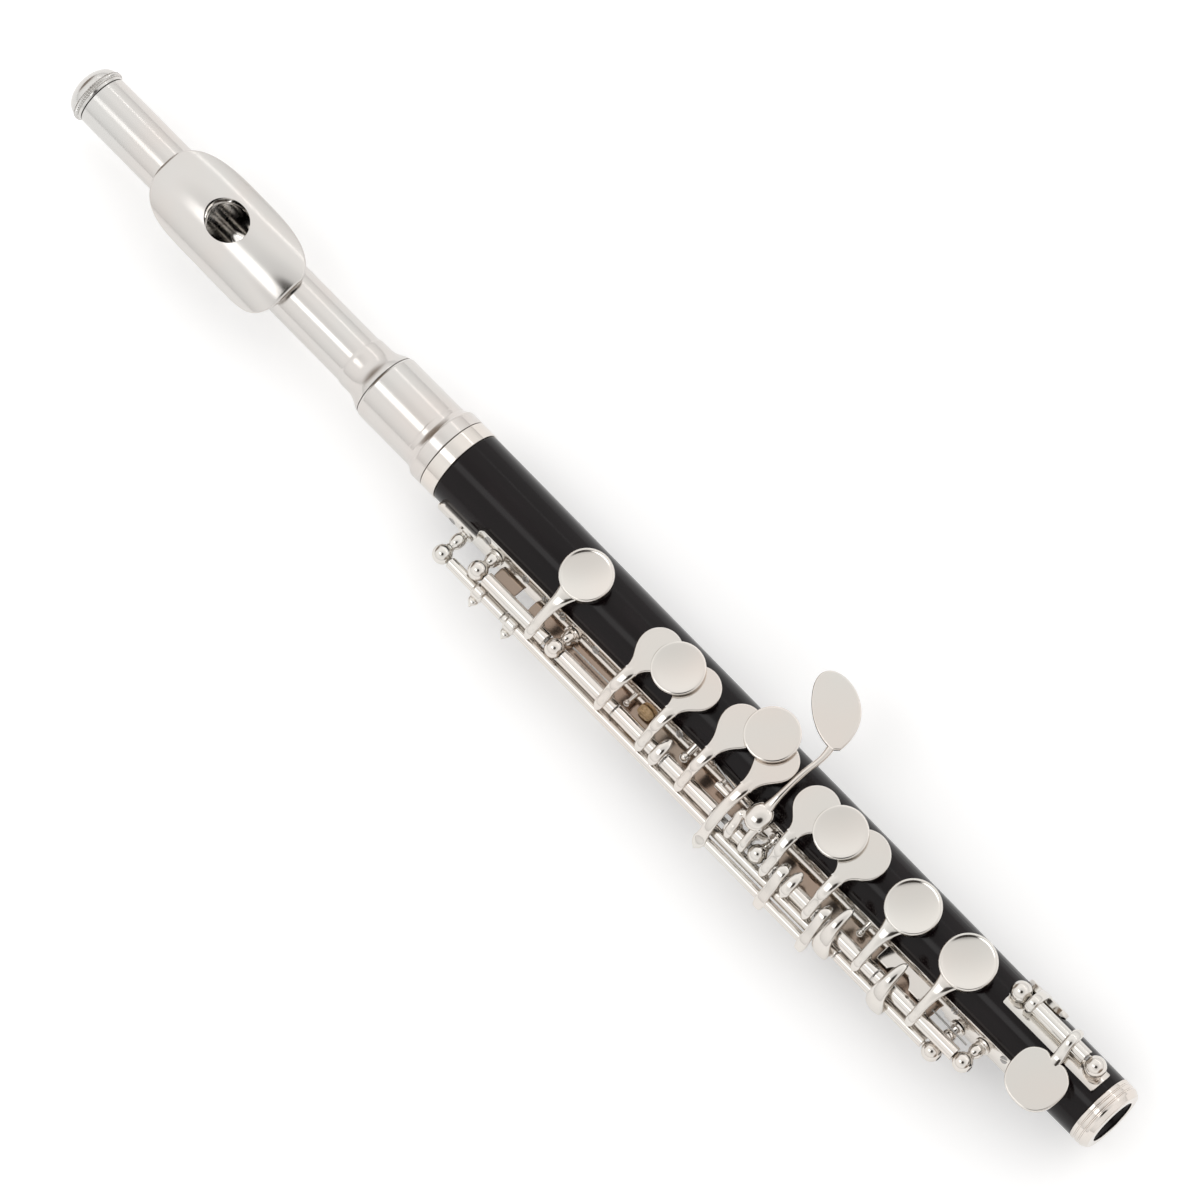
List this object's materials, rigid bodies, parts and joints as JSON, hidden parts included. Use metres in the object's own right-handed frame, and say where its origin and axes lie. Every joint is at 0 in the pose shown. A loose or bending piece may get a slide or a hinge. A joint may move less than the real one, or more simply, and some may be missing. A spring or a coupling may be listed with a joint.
{
  "type": "piccolo",
  "caption": "Small transverse flute with a plated metal head joint, a black resin body and a hinged key mechanism on rods along one side.",
  "frame": {"origin": "middle of the bounding box", "axes": "+X along the bore from the crown to the foot, +Z out through the embouchure hole and the key tops, +Y away from the hinge rods"},
  "size_m": [0.3116, 0.0445, 0.0258],
  "materials": {
    "a_key": "bright silver plate",
    "a_pad": "skin over felt",
    "bflat_cup_key": "bright silver plate",
    "bflat_cup_pad": "skin over felt",
    "body_ring": "bright silver plate",
    "body_tube": "satin black resin",
    "c_key": "bright silver plate",
    "c_pad": "skin over felt",
    "crown": "polished silver plate",
    "d_key": "bright silver plate",
    "d_pad": "skin over felt",
    "d_trill_key": "bright silver plate",
    "d_trill_pad": "skin over felt",
    "dsharp_key": "bright silver plate",
    "dsharp_pad": "skin over felt",
    "dsharp_steel": "polished steel",
    "dsharp_strap": "bright silver plate",
    "dsharp_trill_key": "bright silver plate",
    "dsharp_trill_pad": "skin over felt",
    "e_key": "bright silver plate",
    "e_pad": "skin over felt",
    "embouchure_riser": "polished silver plate",
    "f_key": "bright silver plate",
    "f_pad": "skin over felt",
    "foot_ring": "bright silver plate",
    "fsharp_cup_key": "bright silver plate",
    "fsharp_cup_pad": "skin over felt",
    "g_key": "bright silver plate",
    "g_pad": "skin over felt",
    "gsharp_key": "bright silver plate",
    "gsharp_pad": "skin over felt",
    "head_tube": "polished silver plate",
    "inner_post_1": "bright silver plate",
    "inner_post_2": "bright silver plate",
    "inner_post_3": "bright silver plate",
    "inner_post_4": "bright silver plate",
    "key_bumper": "cork",
    "lip_plate": "polished silver plate",
    "lower_g_key": "bright silver plate",
    "lower_g_pad": "skin over felt",
    "main_rib": "bright silver plate",
    "outer_post_1": "bright silver plate",
    "outer_post_2": "bright silver plate",
    "receiver": "polished silver plate",
    "spring_a": "polished steel",
    "spring_d": "polished steel",
    "spring_g": "polished steel",
    "steel_left_hand": "polished steel",
    "steel_right_hand": "polished steel",
    "stopper_cork": "cork",
    "stopper_screw": "polished steel",
    "tenon_cork": "cork",
    "thumb_b_key": "bright silver plate",
    "thumb_b_pad": "skin over felt",
    "thumb_bflat_key": "bright silver plate",
    "thumb_steel": "polished steel",
    "thumb_strap": "bright silver plate"
  },
  "bodies": {
    "body": {"body_tube": "body_tube", "tenon_cork": "tenon_cork", "body_ring": "body_ring", "foot_ring": "foot_ring", "main_rib": "main_rib", "dsharp_strap": "dsharp_strap", "thumb_strap": "thumb_strap", "inner_post_1": "inner_post_1", "inner_post_2": "inner_post_2", "inner_post_3": "inner_post_3", "inner_post_4": "inner_post_4", "outer_post_1": "outer_post_1", "outer_post_2": "outer_post_2", "steel_left_hand": "steel_left_hand", "steel_right_hand": "steel_right_hand", "dsharp_steel": "dsharp_steel", "thumb_steel": "thumb_steel", "spring_g": "spring_g", "spring_a": "spring_a", "spring_d": "spring_d", "key_bumper": "key_bumper"},
    "head": {"head_tube": "head_tube", "receiver": "receiver", "lip_plate": "lip_plate", "embouchure_riser": "embouchure_riser"},
    "crown": {"crown": "crown"},
    "stopper": {"stopper_screw": "stopper_screw", "stopper_cork": "stopper_cork"},
    "c_key": {"c_key": "c_key", "c_pad": "c_pad"},
    "bflat_cup": {"bflat_cup_key": "bflat_cup_key", "bflat_cup_pad": "bflat_cup_pad"},
    "a_key": {"a_key": "a_key", "a_pad": "a_pad"},
    "g_key": {"g_key": "g_key", "g_pad": "g_pad"},
    "lower_g": {"lower_g_key": "lower_g_key", "lower_g_pad": "lower_g_pad"},
    "gsharp": {"gsharp_key": "gsharp_key", "gsharp_pad": "gsharp_pad"},
    "fsharp_cup": {"fsharp_cup_key": "fsharp_cup_key", "fsharp_cup_pad": "fsharp_cup_pad"},
    "f_key": {"f_key": "f_key", "f_pad": "f_pad"},
    "e_key": {"e_key": "e_key", "e_pad": "e_pad"},
    "d_key": {"d_key": "d_key", "d_pad": "d_pad"},
    "dsharp": {"dsharp_key": "dsharp_key", "dsharp_pad": "dsharp_pad"},
    "d_trill": {"d_trill_key": "d_trill_key", "d_trill_pad": "d_trill_pad"},
    "dsharp_trill": {"dsharp_trill_key": "dsharp_trill_key", "dsharp_trill_pad": "dsharp_trill_pad"},
    "thumb_b": {"thumb_b_key": "thumb_b_key", "thumb_b_pad": "thumb_b_pad"},
    "thumb_bflat": {"thumb_bflat_key": "thumb_bflat_key"}
  },
  "joints": [
    {"name": "tuning_slide", "type": "slide", "parent": "body", "child": "head", "axis": [-1, 0, 0], "range_m": [0, 0.008]},
    {"name": "crown_turn", "type": "hinge", "parent": "head", "child": "crown", "pos_m": [-0.1524, -0.00105, -0.0004], "axis": [1, 0, 0], "range_deg": [0, 720]},
    {"name": "stopper_slide", "type": "slide", "parent": "head", "child": "stopper", "axis": [-1, 0, 0], "range_m": [0, 0.0015]},
    {"name": "c_key_hinge", "type": "hinge", "parent": "body", "child": "c_key", "pos_m": [-0.00555, -0.01525, 0.005], "axis": [1, 0, 0], "range_deg": [-4, 0], "stiffness_Nm_per_rad": 0.015, "springref_deg": 14.32},
    {"name": "bflat_cup_hinge", "type": "hinge", "parent": "body", "child": "bflat_cup", "pos_m": [0.01635, -0.01525, 0.005], "axis": [1, 0, 0], "range_deg": [-3, 0], "stiffness_Nm_per_rad": 0.015, "springref_deg": 14.32},
    {"name": "a_key_hinge", "type": "hinge", "parent": "body", "child": "a_key", "pos_m": [0.0318, -0.01525, 0.005], "axis": [1, 0, 0], "range_deg": [-3, 0], "stiffness_Nm_per_rad": 0.015, "springref_deg": 14.32},
    {"name": "g_key_hinge", "type": "hinge", "parent": "body", "child": "g_key", "pos_m": [0.0466, -0.01525, 0.005], "axis": [1, 0, 0], "range_deg": [-3.5, 0], "stiffness_Nm_per_rad": 0.015, "springref_deg": 14.32},
    {"name": "lower_g_hinge", "type": "hinge", "parent": "body", "child": "lower_g", "pos_m": [0.0736, -0.01525, 0.005], "axis": [1, 0, 0], "range_deg": [-3.5, 0], "stiffness_Nm_per_rad": 0.015, "springref_deg": 14.32},
    {"name": "gsharp_hinge", "type": "hinge", "parent": "body", "child": "gsharp", "pos_m": [0.0609, -0.01525, 0.005], "axis": [1, 0, 0], "range_deg": [-8, 0], "stiffness_Nm_per_rad": 0.015, "springref_deg": 14.32},
    {"name": "fsharp_cup_hinge", "type": "hinge", "parent": "body", "child": "fsharp_cup", "pos_m": [0.07035, -0.01525, 0.005], "axis": [1, 0, 0], "range_deg": [-4, 0], "stiffness_Nm_per_rad": 0.015, "springref_deg": 14.32},
    {"name": "f_key_hinge", "type": "hinge", "parent": "body", "child": "f_key", "pos_m": [0.0796, -0.01525, 0.005], "axis": [1, 0, 0], "range_deg": [-4, 0], "stiffness_Nm_per_rad": 0.015, "springref_deg": 14.32},
    {"name": "e_key_hinge", "type": "hinge", "parent": "body", "child": "e_key", "pos_m": [0.0945, -0.01525, 0.005], "axis": [1, 0, 0], "range_deg": [-4.5, 0], "stiffness_Nm_per_rad": 0.015, "springref_deg": 14.32},
    {"name": "d_key_hinge", "type": "hinge", "parent": "body", "child": "d_key", "pos_m": [0.11325, -0.01525, 0.005], "axis": [1, 0, 0], "range_deg": [-5, 0], "stiffness_Nm_per_rad": 0.015, "springref_deg": 14.32},
    {"name": "dsharp_hinge", "type": "hinge", "parent": "body", "child": "dsharp", "pos_m": [0.1361, 0.00255, 0.0103], "axis": [1, 0, 0], "range_deg": [0, 8], "stiffness_Nm_per_rad": 0.015, "springref_deg": -14.32},
    {"name": "d_trill_hinge", "type": "hinge", "parent": "body", "child": "d_trill", "pos_m": [0.0456, -0.01765, 0.0019], "axis": [1, 0, 0], "range_deg": [-4.5, 0], "stiffness_Nm_per_rad": 0.015, "springref_deg": 14.32},
    {"name": "dsharp_trill_hinge", "type": "hinge", "parent": "body", "child": "dsharp_trill", "pos_m": [0.0456, -0.01765, 0.0019], "axis": [1, 0, 0], "range_deg": [-4.5, 0], "stiffness_Nm_per_rad": 0.015, "springref_deg": 14.32},
    {"name": "thumb_b_hinge", "type": "hinge", "parent": "body", "child": "thumb_b", "pos_m": [0.00895, -0.01335, -0.0068], "axis": [1, 0, 0], "range_deg": [0, 5], "stiffness_Nm_per_rad": 0.015, "springref_deg": -14.32},
    {"name": "thumb_bflat_hinge", "type": "hinge", "parent": "body", "child": "thumb_bflat", "pos_m": [0.0171, -0.01335, -0.0068], "axis": [1, 0, 0], "range_deg": [0, 6], "stiffness_Nm_per_rad": 0.015, "springref_deg": -14.32}
  ],
  "couplings": [
    {"joint": "crown_turn", "follows": "stopper_slide", "rad_per_m": 8377.6},
    {"joint": "bflat_cup_hinge", "follows": "a_key_hinge", "ratio": 1},
    {"joint": "lower_g_hinge", "follows": "g_key_hinge", "ratio": 1},
    {"joint": "fsharp_cup_hinge", "follows": "f_key_hinge", "ratio": 1}
  ]
}
